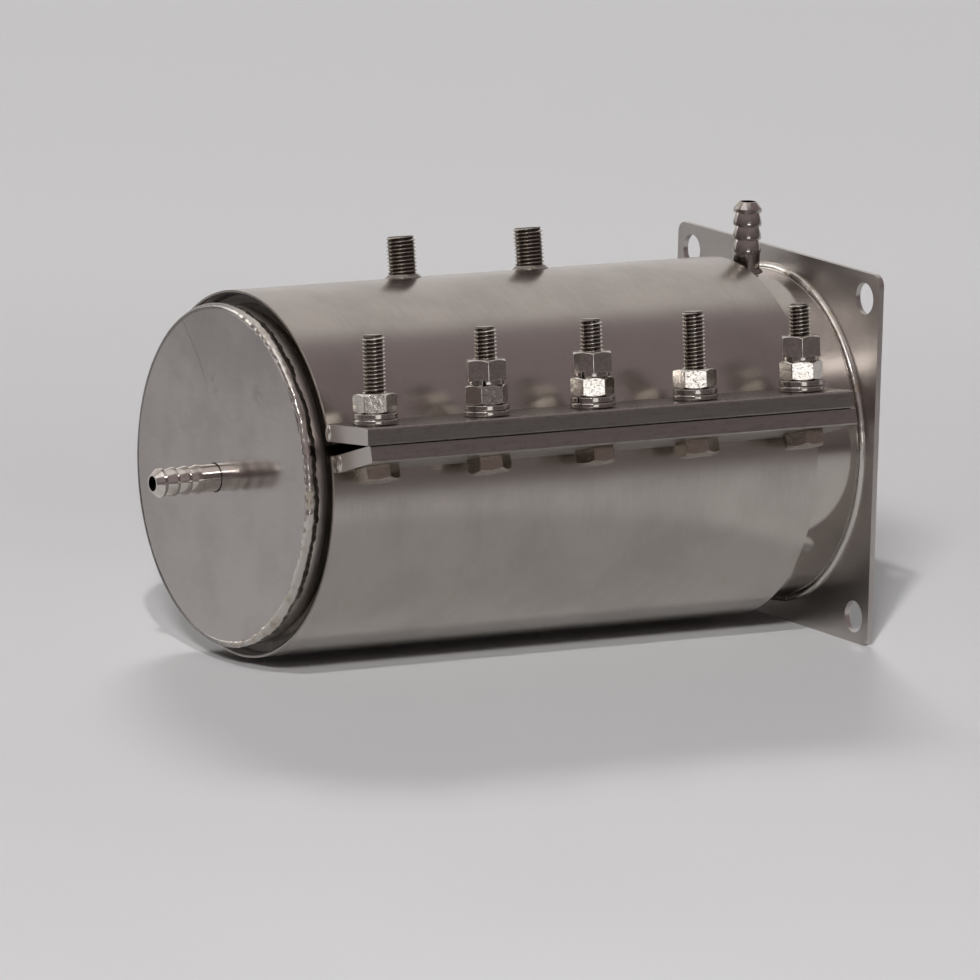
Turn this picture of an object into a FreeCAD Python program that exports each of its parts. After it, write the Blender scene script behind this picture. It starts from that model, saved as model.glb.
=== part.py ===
import FreeCAD, Part
import math
import os
import re

from FreeCAD import Placement, Rotation, Vector
from Part import ArcOfCircle, Circle, LineSegment
from Sketcher import Constraint

# Cylindrical electrolyzer cell lying along X. The origin is the centre of the square
# flange's rear face, the vessel reaches towards -X, the clamp bars stick out towards -Y
# and +Z is up. All sizes are in millimetres and degrees.

SIZES = [
    ("flange_side", 100, "square flange, edge to edge"),
    ("flange_thickness", 1.5, "square flange, plate thickness"),
    ("flange_corner_radius", 3, "square flange, corner rounding"),
    ("flange_hole_dia", 8.5, "square flange, corner holes"),
    ("flange_hole_pitch", 86, "square flange, hole to hole along each side"),
    ("tube_dia", 89, "vessel tube, outside diameter"),
    ("tube_wall", 2, "vessel tube, wall"),
    ("neck_length", 16.5, "bare vessel tube between jacket and flange"),
    ("disc_thickness", 2, "front end disc"),
    ("disc_weld_prep", 0.9, "front end disc, chamfer that its weld fills"),
    ("disc_proud", 6, "front face of the disc ahead of the jacket"),
    ("rim_weld_width", 3.6, "weld round the disc, along the vessel"),
    ("rim_weld_height", 1.15, "weld round the disc, its bulge from edge to edge"),
    ("neck_weld_leg", 1.5, "fillet weld between neck and flange"),
    ("neck_weld_throat", 0.5, "fillet weld between neck and flange, its middle off each of them"),
    ("socket_weld_leg", 1.0, "fillet weld round a fitting's foot"),
    ("socket_weld_throat", 0.4, "fillet weld round a foot, its middle off foot and wall"),
    ("socket_weld_toe", 0.05, "fillet weld round a foot, height of its outer edge"),
    ("liner_thickness", 2.65, "insulating liner, between vessel and jacket"),
    ("jacket_wall", 1, "jacket shell, sheet thickness"),
    ("jacket_length", 148.5, "jacket shell, end to end"),
    ("slit_lower_angle", 15.2, "slit's lower edge above the -Y side"),
    ("slit_upper_angle", 19.65, "slit's upper edge above the -Y side"),
    ("liner_setback", 4, "insulating liner, short of the jacket at each end"),
    ("fit_clearance", 0.05, "gap between pieces that seat on each other"),
    ("bar_thickness", 4.5, "clamp bars, flat stock thickness"),
    ("bar_tilt", 6.3, "upper clamp bar, rise outwards"),
    ("upper_bar_reach", 19.4, "upper clamp bar, slit edge to outer edge"),
    ("lower_bar_reach", 17.8, "lower clamp bar, slit edge to outer edge"),
    ("bar_edge_gap", 0.1, "gap between the bars at their outer edges"),
    ("bar_edge_break", 0.35, "clamp bars, chamfer on the outer edges"),
    ("lower_bar_shift", 1.3, "lower clamp bar, moved along the vessel"),
    ("end_weld_length", 4.4, "weld at a bar's root, along the bar's thickness"),
    ("end_weld_width", 2.6, "weld at a bar's root, across"),
    ("end_weld_height", 0.6, "weld at a bar's root, proud of the end face"),
    ("bolt_dia", 6, "clamp bolt, thread diameter"),
    ("bolt_length", 34.1, "clamp bolt, from under its head to its tip"),
    ("shank_root", 1, "clamp bolt, shank's root inside the head"),
    ("bolt_tip_chamfer", 0.7, "clamp bolt, chamfer at the free end"),
    ("bolt_hole_dia", 6.6, "bolt holes in the clamp bars"),
    ("bolt_edge_distance", 9.7, "bolt line to the upper bar's outer edge"),
    ("first_bolt", 8.1, "first bolt, from the jacket's front edge"),
    ("last_bolt", 10, "fifth bolt, from the jacket's rear edge"),
    ("bolt_2_drift", 1, "second bolt, off its even place between first and fifth"),
    ("bolt_3_drift", 0.6, "third bolt, off its even place"),
    ("bolt_4_drift", -0.5, "fourth bolt, off its even place"),
    ("hex_flats", 10, "nuts and bolt heads, across flats"),
    ("hex_face_dia", 9.5, "nuts and bolt heads, round face inside the bevelled corners"),
    ("head_height", 4, "bolt head"),
    ("nut_height", 5.2, "hex nuts"),
    ("flat_washer_dia", 12, "flat washers, outside"),
    ("flat_washer_thickness", 1.6, "flat washers"),
    ("spring_washer_dia", 11.8, "split spring washers under the clamp nuts"),
    ("terminal_washer_dia", 9.4, "split spring washers under the terminal nuts"),
    ("spring_washer_thickness", 1.4, "split spring washers"),
    ("washer_hole_dia", 6.4, "holes in all washers"),
    ("washer_split", 0.6, "slit in a spring washer"),
    ("washer_split_lean", 18, "slit in a spring washer, lean from its radius"),
    ("nipple_dia", 8, "threaded nipples, outside"),
    ("nipple_bore", 5, "threaded nipples, bore"),
    ("nipple_height", 11, "threaded nipples, proud of the jacket"),
    ("nipple_chamfer", 0.6, "threaded nipples, chamfer at the mouth"),
    ("nipple_angle", 10.3, "threaded nipples, lean from the top towards +Y"),
    ("first_nipple", 53.1, "first nipple, from the jacket's front edge"),
    ("nipple_spacing", 39.3, "nipple to nipple"),
    ("barb_bore", 4, "hose barbs, bore"),
    ("barb_base_dia", 7.3, "hose barbs, plain foot diameter"),
    ("barb_base_length", 5.1, "hose barbs, plain foot length"),
    ("barb_crest_dia", 7.7, "hose barbs, ridge diameter"),
    ("barb_root_dia", 6.2, "hose barbs, diameter behind a ridge"),
    ("barb_land", 0.9, "hose barbs, straight part of a ridge's crest"),
    ("barb_nose_dia", 5, "hose barbs, diameter at the mouth"),
    ("barb_pitch", 3.65, "hose barbs, ridge to ridge"),
    ("barb_nose_length", 2.7, "hose barbs, mouth to first ridge"),
    ("front_barb_side", 3, "front hose barb, off the disc's centre towards +Y"),
    ("front_barb_drop", 1, "front hose barb, below the disc's centre"),
    ("front_barb_droop", 1, "front hose barb, angle below the vessel's axis"),
    ("neck_barb_distance", 11.5, "neck hose barb, from the flange's rear face"),
    ("electrode_gap", 9.5, "inner electrode, clear of the vessel's bore"),
    ("electrode_wall", 1.5, "inner electrode, wall"),
    ("electrode_front_gap", 14.5, "inner electrode, clear of the end disc"),
    ("electrode_inset", 18, "inner electrode, inside the flange's rear face"),
    ("electrode_hole_dia", 6, "inner electrode, flow holes"),
    ("electrode_hole_margin", 21, "inner electrode, its ends to the first and last flow holes"),
    ("spacer_width", 8, "insulating spacers, along the vessel"),
    ("spacer_inset", 6, "insulating spacers, from the electrode's ends"),
    ("spacer_notch_dia", 14, "insulating spacers, gas and water notches"),
    ("spacer_notch_centre", 2.1, "insulating spacers, notches' centres outside the vessel's bore"),
    ("cut_margin", 1, "how far a cutting section starts or ends clear of what it cuts"),
]
BARB_RIDGES = 4
FLOW_HOLE_ROWS = 7
FLOW_HOLE_PAIRS = 3
SPACER_NOTCHES = 6

# Values that follow from the sizes. The slit's two edges and the bars are worked out in
# the cross-section: slit_drop is how far the lower bar's root lies under the upper bar,
# and bar_wedge is the angle at which the lower bar closes up to it at the outer edge.
# Heights on the bolts are measured from the upper bar's top face, along the bolt.
DERIVED = {
    "jacket_bore": "tube_dia + 2 * liner_thickness + 4 * fit_clearance",
    "jacket_radius": "jacket_bore / 2 + jacket_wall",
    "tube_radius": "tube_dia / 2",
    "tube_bore": "tube_dia - 2 * tube_wall",
    "jacket_rear": "-flange_thickness - neck_length",
    "jacket_front": "jacket_rear - jacket_length",
    "disc_back": "jacket_front - disc_proud + disc_thickness",
    "root_radius": "jacket_radius + fit_clearance",
    "slit_drop": "root_radius * ((cos(slit_lower_angle) - cos(slit_upper_angle)) * sin(bar_tilt)"
                 " + (sin(slit_upper_angle) - sin(slit_lower_angle)) * cos(bar_tilt))",
    "slit_offset": "root_radius * ((cos(slit_upper_angle) - cos(slit_lower_angle)) * cos(bar_tilt)"
                   " + (sin(slit_upper_angle) - sin(slit_lower_angle)) * sin(bar_tilt))",
    "bar_wedge": "asin((slit_drop - bar_edge_gap) / lower_bar_reach) / 1 deg",
    "lower_bar_tilt": "bar_tilt + bar_wedge",
    "bolt_y": "-root_radius * cos(slit_upper_angle) + bar_thickness * sin(bar_tilt)"
              " - (upper_bar_reach - bolt_edge_distance) * cos(bar_tilt)",
    "bolt_z": "root_radius * sin(slit_upper_angle) + bar_thickness * cos(bar_tilt)"
              " + (upper_bar_reach - bolt_edge_distance) * sin(bar_tilt)",
    "seat_run": "upper_bar_reach + slit_offset - bolt_edge_distance",
    "head_seat": "seat_run * tan(bar_wedge) - bar_thickness - slit_drop - bar_thickness / cos(bar_wedge)",
    "head_y": "bolt_y + head_seat * sin(bar_tilt)",
    "head_z": "bolt_z + head_seat * cos(bar_tilt)",
    "bolt_step": "(jacket_length - first_bolt - last_bolt) / 4",
    "bolt_1_x": "jacket_front + first_bolt",
    "bolt_2_x": "bolt_1_x + bolt_step + bolt_2_drift",
    "bolt_3_x": "bolt_1_x + 2 * bolt_step + bolt_3_drift",
    "bolt_4_x": "bolt_1_x + 3 * bolt_step + bolt_4_drift",
    "bolt_5_x": "bolt_1_x + 4 * bolt_step",
    "hex_corner": "hex_flats / 2 / cos(30)",
    "clamp_nut_seat": "flat_washer_thickness + spring_washer_thickness",
    "terminal_washer_seat": "clamp_nut_seat + nut_height",
    "terminal_nut_seat": "terminal_washer_seat + spring_washer_thickness",
    "nut_hole_dia": "bolt_dia + 2 * fit_clearance",
    "barb_hole_dia": "barb_base_dia + 2 * fit_clearance",
    "nipple_hole_dia": "nipple_dia + 2 * fit_clearance",
    "barb_length": "barb_base_length + %d * barb_pitch + barb_nose_length" % (BARB_RIDGES - 1),
    "electrode_dia": "tube_bore - 2 * electrode_gap",
    "electrode_front": "disc_back + electrode_front_gap",
    "electrode_length": "-electrode_inset - electrode_front",
    "flow_hole_step": "(electrode_length - 2 * electrode_hole_margin) / %d" % (FLOW_HOLE_ROWS - 1),
}

document = FreeCAD.newDocument("ElectrolyzerCell")
sheet = document.addObject("Spreadsheet::Sheet", "Sizes")
for row, (alias, value, meaning) in enumerate(SIZES, start=1):
    sheet.set("A%d" % row, meaning)
    sheet.set("B%d" % row, str(value))
    sheet.setAlias("B%d" % row, alias)
document.recompute()
ALIASES = {alias for alias, value, meaning in SIZES}
pieces = []


def in_sheet(formula):
    """Write out the derived values and point every size at its cell."""
    def resolve(match):
        word = match.group()
        if word in DERIVED:
            return "(" + in_sheet(DERIVED[word]) + ")"
        return "Sizes." + word if word in ALIASES else word
    return re.sub(r"[a-z_][a-z_0-9]*", resolve, formula)


def bind(thing, setting, formula):
    thing.setExpression(setting, in_sheet(formula))


def number(formula):
    """The formula's present value, for the first guess that a sketch starts from."""
    result = sheet.evalExpression(in_sheet(formula))
    return float(getattr(result, "Value", result))


def new_body(label, at=("0", "0", "0"), axis=(0, 0, 1), turn="0"):
    """A piece whose own origin stands at a place, turned about an axis."""
    body = document.addObject("PartDesign::Body", label)
    body.Label = label
    body.Placement = Placement(Vector(), Rotation(Vector(*axis), 1))
    for letter, formula in zip("xyz", at):
        bind(body, "Placement.Base." + letter, formula)
    bind(body, "Placement.Rotation.Angle", turn)
    pieces.append(body)
    return body


def new_sketch(body, role, lift="0", spin="0"):
    """A sketch on one of the body's planes, lifted off it and spun about its normal."""
    sketch = body.newObject("Sketcher::SketchObject", body.Name + "_sketch")
    plane = next(feature for feature in body.Origin.OriginFeatures if feature.Role == role)
    sketch.AttachmentSupport = (plane, [""])
    sketch.MapMode = "FlatFace"
    bind(sketch, "AttachmentOffset.Base.z", lift)
    bind(sketch, "AttachmentOffset.Rotation.Angle", spin)
    return sketch


def dimension(sketch, kind, *where, formula):
    """A driving dimension; an angle is in degrees in the formula."""
    start = math.radians(number(formula)) if kind == "Angle" else number(formula)
    index = sketch.addConstraint(Constraint(kind, *where, start))
    bind(sketch, "Constraints[%d]" % index, formula)


def pin(sketch, geometry, point, x, y):
    """Hold a point of the geometry at x, y from the sketch's origin."""
    if x == "0" and y == "0":
        sketch.addConstraint(Constraint("Coincident", geometry, point, -1, 1))
        return
    for kind, axis, formula in (("DistanceX", -2, x), ("DistanceY", -1, y)):
        if formula == "0":
            sketch.addConstraint(Constraint("PointOnObject", geometry, point, axis))
        else:
            dimension(sketch, kind, -1, 1, geometry, point, formula=formula)


def add_circle(sketch, diameter, x="0", y="0"):
    centre = Vector(number(x), number(y), 0)
    circle = sketch.addGeometry(Circle(centre, Vector(0, 0, 1), number(diameter) / 2))
    pin(sketch, circle, 3, x, y)
    dimension(sketch, "Diameter", circle, formula=diameter)


def add_outline(sketch, corners):
    """A closed outline of straight edges; each corner is a pair of formulas."""
    points = [Vector(number(x), number(y), 0) for x, y in corners]
    edges = [sketch.addGeometry(LineSegment(start, end))
             for start, end in zip(points, points[1:] + points[:1])]
    for edge, following in zip(edges, edges[1:] + edges[:1]):
        sketch.addConstraint(Constraint("Coincident", edge, 2, following, 1))
    for edge, (x, y) in zip(edges, corners):
        pin(sketch, edge, 1, x, y)


def add_bead(sketch, start, corner, end, bulge):
    """A weld bead's section: an arch from start to end, on a foot that is bent at a corner."""
    first, knee, last = [Vector(number(x), number(y), 0) for x, y in (start, corner, end)]
    chord = last - first
    crown = (first + last) / 2 + Vector(-chord.y, chord.x, 0).normalize() * number(bulge)
    near_foot = sketch.addGeometry(LineSegment(first, knee))
    far_foot = sketch.addGeometry(LineSegment(knee, last))
    arch = sketch.addGeometry(Part.Arc(first, crown, last))
    sketch.addConstraint(Constraint("Coincident", near_foot, 2, far_foot, 1))
    sketch.addConstraint(Constraint("Coincident", arch, 2, near_foot, 1))
    sketch.addConstraint(Constraint("Coincident", arch, 1, far_foot, 2))
    for foot, point, place in ((near_foot, 1, start), (far_foot, 1, corner), (far_foot, 2, end)):
        pin(sketch, foot, point, *place)
    chord_squared = "(pow(%s - (%s); 2) + pow(%s - (%s); 2))" % (end[0], start[0], end[1], start[1])
    dimension(sketch, "Radius", arch,
              formula="(%s / 4 + pow(%s; 2)) / (2 * %s)" % (chord_squared, bulge, bulge))


def add_split_ring(sketch, outer, inner, low, high):
    """A ring section cut open between two angles above the -Y side."""
    low_turn = math.radians(180 - number(low))
    high_turn = math.radians(180 - number(high))
    arcs = []
    for radius in (outer, inner):
        circle = Circle(Vector(), Vector(0, 0, 1), number(radius))
        arc = sketch.addGeometry(ArcOfCircle(circle, low_turn, high_turn + 2 * math.pi))
        pin(sketch, arc, 3, "0", "0")
        dimension(sketch, "Radius", arc, formula=radius)
        arcs.append(arc)
    for point, turn, angle in ((1, low_turn, low), (2, high_turn, high)):
        ray = Vector(math.cos(turn), math.sin(turn), 0)
        edge = sketch.addGeometry(LineSegment(ray * number(inner), ray * number(outer)))
        sketch.addConstraint(Constraint("Coincident", edge, 1, arcs[1], point))
        sketch.addConstraint(Constraint("Coincident", edge, 2, arcs[0], point))
        sketch.addConstraint(Constraint("PointOnObject", -1, 1, edge))
        dimension(sketch, "Angle", edge, formula="180 - " + angle)


def pad(body, sketch, length, towards=1):
    feature = body.newObject("PartDesign::Pad", body.Name + "_pad")
    feature.Profile = sketch
    feature.Reversed = towards < 0
    bind(feature, "Length", length)
    return feature


def cut_through(body, sketch, sides="Symmetric", towards=-1):
    """A pocket through everything, along the sketch's normal where towards is 1."""
    feature = body.newObject("PartDesign::Pocket", body.Name + "_cut")
    feature.Profile = sketch
    feature.Type = "ThroughAll"
    feature.SideType = sides
    feature.Reversed = towards > 0
    return feature


def turn_about(body, sketch, axis, kind="Revolution"):
    """Revolve a section, or with Groove cut it away, about one of its sketch's axes."""
    feature = body.newObject("PartDesign::" + kind, body.Name + "_turned")
    feature.Profile = sketch
    feature.ReferenceAxis = (sketch, [axis])
    feature.Angle = 360


def body_axis(body, role):
    return next(feature for feature in body.Origin.OriginFeatures if feature.Role == role)


def polar_copies(body, feature, count, angle=360):
    document.recompute()
    pattern = body.newObject("PartDesign::PolarPattern", body.Name + "_copies")
    pattern.Originals = [feature]
    pattern.Axis = (body_axis(body, "X_Axis"), [""])
    pattern.Angle = angle
    pattern.Occurrences = count
    body.Tip = pattern


def chosen_edges(feature, wanted):
    """Names of the feature's edges that pass a test."""
    document.recompute()
    return ["Edge%d" % index for index, edge in enumerate(feature.Shape.Edges, start=1) if wanted(edge)]


def dress_edges(body, feature, kind, setting, formula, wanted):
    """Fillet or chamfer the edges that pass a test."""
    names = chosen_edges(feature, wanted)
    dressed = body.newObject("PartDesign::" + kind, body.Name + "_" + kind.lower())
    dressed.Base = (feature, names)
    bind(dressed, setting, formula)
    return dressed


def runs_along_x(edge):
    direction = edge.Vertexes[-1].Point - edge.Vertexes[0].Point
    return isinstance(edge.Curve, Part.Line) and abs(direction.x) > 0.99 * direction.Length


# Vessel: one length of tube from the flange's rear face to the back of the end disc, with a
# hole in its top for the neck's hose barb.
vessel = new_body("vessel_tube")
section = new_sketch(vessel, "YZ_Plane")
add_circle(section, "tube_dia")
add_circle(section, "tube_bore")
pad(vessel, section, "-disc_back", towards=-1)
barb_hole = new_sketch(vessel, "XY_Plane")
add_circle(barb_hole, "barb_hole_dia", "-neck_barb_distance")
cut_through(vessel, barb_hole, sides="One side", towards=1)

# End disc: flat blank on the tube's front end, chamfered round its edge for the weld and
# drilled off centre for its hose barb.
disc = new_body("front_end_disc", at=("disc_back", "0", "0"))
section = new_sketch(disc, "YZ_Plane")
add_circle(section, "tube_dia")
add_circle(section, "barb_hole_dia", "front_barb_side", "-front_barb_drop")
blank = pad(disc, section, "disc_thickness", towards=-1)
dress_edges(disc, blank, "Chamfer", "Size", "disc_weld_prep",
            lambda edge: edge.CenterOfMass.x < 0 and edge.BoundBox.YLength > number("tube_bore"))

# Rim weld: fills the disc's chamfer and covers the joint between disc and tube all round.
rim_weld = new_body("rim_weld_bead", at=("disc_back - disc_thickness", "0", "0"))
section = new_sketch(rim_weld, "XZ_Plane")
weld_seat = "tube_radius + fit_clearance"
add_bead(section, ("0", weld_seat + " - disc_weld_prep"), ("disc_weld_prep", weld_seat),
         ("rim_weld_width", weld_seat), "rim_weld_height")
turn_about(rim_weld, section, "H_Axis")

# Square flange: plate with rounded corners, a hole that the tube sits in and four bolt holes.
flange = new_body("square_flange")
section = new_sketch(flange, "YZ_Plane")
half_side = "flange_side / 2"
add_outline(section, [(sign_y + half_side, sign_z + half_side)
                      for sign_y, sign_z in (("", ""), ("-", ""), ("-", "-"), ("", "-"))])
plate = pad(flange, section, "flange_thickness", towards=-1)
dress_edges(flange, plate, "Fillet", "Radius", "flange_corner_radius", runs_along_x)
tube_seat = new_sketch(flange, "YZ_Plane")
add_circle(tube_seat, "tube_dia + 2 * fit_clearance")
cut_through(flange, tube_seat)
corner_hole = new_sketch(flange, "YZ_Plane")
add_circle(corner_hole, "flange_hole_dia", "flange_hole_pitch / 2", "flange_hole_pitch / 2")
first_hole = cut_through(flange, corner_hole)
polar_copies(flange, first_hole, 4)

# Neck weld: concave fillet in the corner between tube and flange.
neck_weld = new_body("neck_weld_bead", at=("-flange_thickness", "0", "0"))
section = new_sketch(neck_weld, "XZ_Plane")
add_outline(section, [("0", weld_seat), ("-neck_weld_leg", weld_seat),
                      ("-neck_weld_throat", weld_seat + " + neck_weld_throat"),
                      ("0", weld_seat + " + neck_weld_leg")])
turn_about(neck_weld, section, "H_Axis")


def hose_barb(label, wall, at, axis, turn):
    """Turned hose barb: plain foot let into the wall, saw-tooth ridges and a tapered mouth."""
    barb = new_body(label, at, axis, turn)
    profile = new_sketch(barb, "XZ_Plane")
    corners = [("barb_bore / 2", "-" + wall), ("barb_base_dia / 2", "-" + wall),
               ("barb_base_dia / 2", "barb_base_length")]
    for ridge in range(BARB_RIDGES):
        height = "barb_base_length + %d * barb_pitch" % ridge
        if ridge > 0:
            corners.append(("barb_root_dia / 2", height))
        corners.append(("barb_crest_dia / 2", height))
        corners.append(("barb_crest_dia / 2", height + " + barb_land"))
    corners += [("barb_nose_dia / 2", "barb_length"), ("barb_bore / 2", "barb_length")]
    add_outline(profile, corners)
    turn_about(barb, profile, "V_Axis")


hose_barb("front_hose_barb", "disc_thickness",
          at=("disc_back - disc_thickness", "front_barb_side", "-front_barb_drop"),
          axis=(0, -1, 0), turn="90 + front_barb_droop")
hose_barb("neck_hose_barb", "tube_wall",
          at=("-neck_barb_distance", "0", "tube_radius"), axis=(0, 0, 1), turn="0")


def socket_weld(label, rod, host_radius, at, axis, turn):
    """Fillet weld round a round foot, saddled on the cylinder that the foot stands on."""
    weld = new_body(label, at, axis, turn)
    profile = new_sketch(weld, "XZ_Plane")
    inner = rod + " / 2 + fit_clearance"
    add_outline(profile, [(inner, "-cut_margin"), (inner, "socket_weld_leg"),
                          (inner + " + socket_weld_throat", "socket_weld_throat"),
                          (inner + " + socket_weld_leg", "socket_weld_toe"),
                          (inner + " + socket_weld_leg", "-cut_margin")])
    turn_about(weld, profile, "V_Axis")
    host = new_sketch(weld, "YZ_Plane")
    add_circle(host, "2 * (%s + fit_clearance)" % host_radius, "0", "-" + host_radius)
    cut_through(weld, host)


socket_weld("neck_barb_weld", "barb_base_dia", "tube_radius",
            at=("-neck_barb_distance", "0", "tube_radius"), axis=(0, 0, 1), turn="0")


def split_sleeve(label, outer, inner, front, length):
    """Rolled sleeve, left open between the slit's two edges."""
    sleeve = new_body(label, at=(front, "0", "0"))
    profile = new_sketch(sleeve, "YZ_Plane")
    add_split_ring(profile, outer, inner, "slit_lower_angle", "slit_upper_angle")
    pad(sleeve, profile, length)
    return sleeve


# Jacket: one sheet rolled round the vessel, its slit ending at the two clamp bars, with two
# holes for the nipples. The liner insulates it from the vessel and carries it.
jacket = split_sleeve("jacket_shell", "jacket_radius", "jacket_bore / 2", "jacket_front", "jacket_length")
nipple_holes = new_sketch(jacket, "XY_Plane")
nipple_holes.AttachmentOffset = Placement(Vector(), Rotation(Vector(-1, 0, 0), 1))
bind(nipple_holes, "AttachmentOffset.Rotation.Angle", "nipple_angle")
for nipple_x in ("first_nipple", "first_nipple + nipple_spacing"):
    add_circle(nipple_holes, "nipple_hole_dia", nipple_x)
cut_through(jacket, nipple_holes, sides="One side", towards=1)

split_sleeve("jacket_liner", "jacket_bore / 2 - fit_clearance", "tube_radius + fit_clearance",
             "jacket_front + liner_setback", "jacket_length - 2 * liner_setback")


def threaded_nipple(number_from_front, x):
    """Short pipe through the jacket's wall, chamfered at its mouth and welded at its foot."""
    place = {"at": (x, "jacket_radius * sin(nipple_angle)", "jacket_radius * cos(nipple_angle)"),
             "axis": (-1, 0, 0), "turn": "nipple_angle"}
    nipple = new_body("threaded_nipple_%d" % number_from_front, **place)
    profile = new_sketch(nipple, "XZ_Plane")
    add_outline(profile, [("nipple_bore / 2", "-jacket_wall"), ("nipple_dia / 2", "-jacket_wall"),
                          ("nipple_dia / 2", "nipple_height - nipple_chamfer"),
                          ("nipple_dia / 2 - nipple_chamfer", "nipple_height"),
                          ("nipple_bore / 2", "nipple_height")])
    turn_about(nipple, profile, "V_Axis")
    socket_weld("nipple_weld_%d" % number_from_front, "nipple_dia", "jacket_radius", **place)


threaded_nipple(1, "jacket_front + first_nipple")
threaded_nipple(2, "jacket_front + first_nipple + nipple_spacing")


def clamp_bar(label, root_angle, tilt, reach, side, shift):
    """Flat bar on the jacket's slit edge: its root is shaped to the shell, its outer edges are
    broken and five holes pass the bolts. Side is 1 where the bar lies above its slit edge."""
    bar = new_body(label, at=("jacket_front + " + shift, "0", "0"))
    profile = new_sketch(bar, "YZ_Plane")
    lean = math.radians(180 - number(tilt))
    along = Vector(math.cos(lean), math.sin(lean), 0)
    across = Vector(math.sin(lean), -math.cos(lean), 0) * side
    seat = number("root_radius")
    root_turn = math.radians(180 - number(root_angle))
    root = Vector(seat * math.cos(root_turn), seat * math.sin(root_turn), 0)
    tip = root + along * number(reach)
    far_tip = tip + across * number("bar_thickness")
    far_root = root + across * number("bar_thickness")
    far_turn = math.atan2(far_root.y, far_root.x)
    facing, outer, backing = [profile.addGeometry(LineSegment(start, end)) for start, end in
                              ((root, tip), (tip, far_tip), (far_tip, far_root))]
    saddle = profile.addGeometry(ArcOfCircle(Circle(Vector(), Vector(0, 0, 1), seat),
                                             min(root_turn, far_turn), max(root_turn, far_turn)))
    root_end, far_end = (2, 1) if far_turn < root_turn else (1, 2)
    pin(profile, saddle, 3, "0", "0")
    dimension(profile, "Radius", saddle, formula="root_radius")
    for first, first_end, second, second_end in ((facing, 1, saddle, root_end), (facing, 2, outer, 1),
                                                 (outer, 2, backing, 1), (backing, 2, saddle, far_end)):
        profile.addConstraint(Constraint("Coincident", first, first_end, second, second_end))
    profile.addConstraint(Constraint("Perpendicular", facing, outer))
    profile.addConstraint(Constraint("Parallel", facing, backing))
    dimension(profile, "Angle", facing, formula="180 - " + tilt)
    dimension(profile, "Distance", facing, formula=reach)
    dimension(profile, "Distance", outer, formula="bar_thickness")
    dimension(profile, "DistanceY", -1, 1, facing, 1,
              formula="root_radius * sin(%s)" % root_angle)
    stock = pad(bar, profile, "jacket_length")
    outer_side = (tip.x + root.x) / 2
    broken = dress_edges(bar, stock, "Chamfer", "Size", "bar_edge_break",
                         lambda edge: runs_along_x(edge) and edge.CenterOfMass.y < outer_side)
    broken.ChamferType = "Equal distance"
    holes = new_sketch(bar, "XY_Plane")
    holes.AttachmentOffset = Placement(Vector(), Rotation(Vector(-1, 0, 0), 1))
    bind(holes, "AttachmentOffset.Base.y", "bolt_y")
    bind(holes, "AttachmentOffset.Base.z", "bolt_z")
    bind(holes, "AttachmentOffset.Rotation.Angle", "bar_tilt")
    for bolt in range(1, 6):
        add_circle(holes, "bolt_hole_dia", "bolt_%d_x - jacket_front - %s" % (bolt, shift))
    cut_through(bar, holes)


clamp_bar("upper_clamp_bar", "slit_upper_angle", "bar_tilt", "upper_bar_reach", side=1, shift="0")
clamp_bar("lower_clamp_bar", "slit_lower_angle", "lower_bar_tilt", "lower_bar_reach",
          side=-1, shift="lower_bar_shift")


def bar_end_weld(name, root_angle, root_distance, towards, face):
    """Half of a flat ellipsoid on a bar's end face, where the bar's root meets the shell."""
    weld = document.addObject("Part::Ellipsoid", name)
    bind(weld, "Radius1", "end_weld_height")
    bind(weld, "Radius2", "end_weld_length / 2")
    bind(weld, "Radius3", "end_weld_width / 2")
    weld.Angle1 = 0
    weld.Angle2 = 90
    weld.Placement = Placement(Vector(), Rotation(Vector(0, towards, 0), 90))
    bind(weld, "Placement.Base.x", face)
    bind(weld, "Placement.Base.y", "-(%s) * cos(%s)" % (root_distance, root_angle))
    bind(weld, "Placement.Base.z", "(%s) * sin(%s)" % (root_distance, root_angle))
    return weld


# Clamp bolts: each passes both bars from below and stands square on the upper bar. Its head is
# drawn flat against the lower bar, so the shank is bent where it leaves the head. It carries a
# flat washer, a spring washer and a nut. Terminal bolts carry one more spring washer and nut.
def stack_body(label, bolt):
    return new_body(label, at=("bolt_%d_x" % bolt, "bolt_y", "bolt_z"), axis=(-1, 0, 0), turn="bar_tilt")


def add_hexagon(sketch):
    add_outline(sketch, [("hex_corner * cos(%d)" % turn,
                          "hex_corner * sin(%d)" % turn if turn % 180 else "0")
                         for turn in range(0, 360, 60)])


def bevel_corners(body, face, inwards):
    """Turn the hexagon's corners off at one face, at thirty degrees."""
    cutter = new_sketch(body, "XZ_Plane")
    reach = "hex_corner + cut_margin"
    add_outline(cutter, [("hex_face_dia / 2", face), (reach, face),
                         (reach, "%s %s (%s - hex_face_dia / 2) * tan(30)" % (face, inwards, reach))])
    turn_about(body, cutter, "V_Axis", "Groove")


def clamp_bolt(bolt, spin):
    body = new_body("clamp_bolt_%d" % bolt, at=("bolt_%d_x" % bolt, "head_y", "head_z"),
                    axis=(-1, 0, 0), turn="lower_bar_tilt")
    head = new_sketch(body, "XY_Plane", spin=spin)
    add_hexagon(head)
    pad(body, head, "head_height", towards=-1)
    bevel_corners(body, "-head_height", "+")
    shank = new_sketch(body, "XY_Plane")
    shank.AttachmentOffset = Placement(Vector(), Rotation(Vector(1, 0, 0), 1))
    bind(shank, "AttachmentOffset.Rotation.Angle", "bar_wedge")
    add_circle(shank, "bolt_dia")
    rod = pad(body, shank, "bolt_length")
    rod.SideType = "Two sides"
    bind(rod, "Length2", "shank_root")
    bend = Rotation(Vector(1, 0, 0), number("bar_wedge"))
    tip = bend.multVec(Vector(0, 0, number("bolt_length")))
    dress_edges(body, rod, "Chamfer", "Size", "bolt_tip_chamfer",
                lambda edge: edge.CenterOfMass.distanceToPoint(tip) < 0.01)


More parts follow.
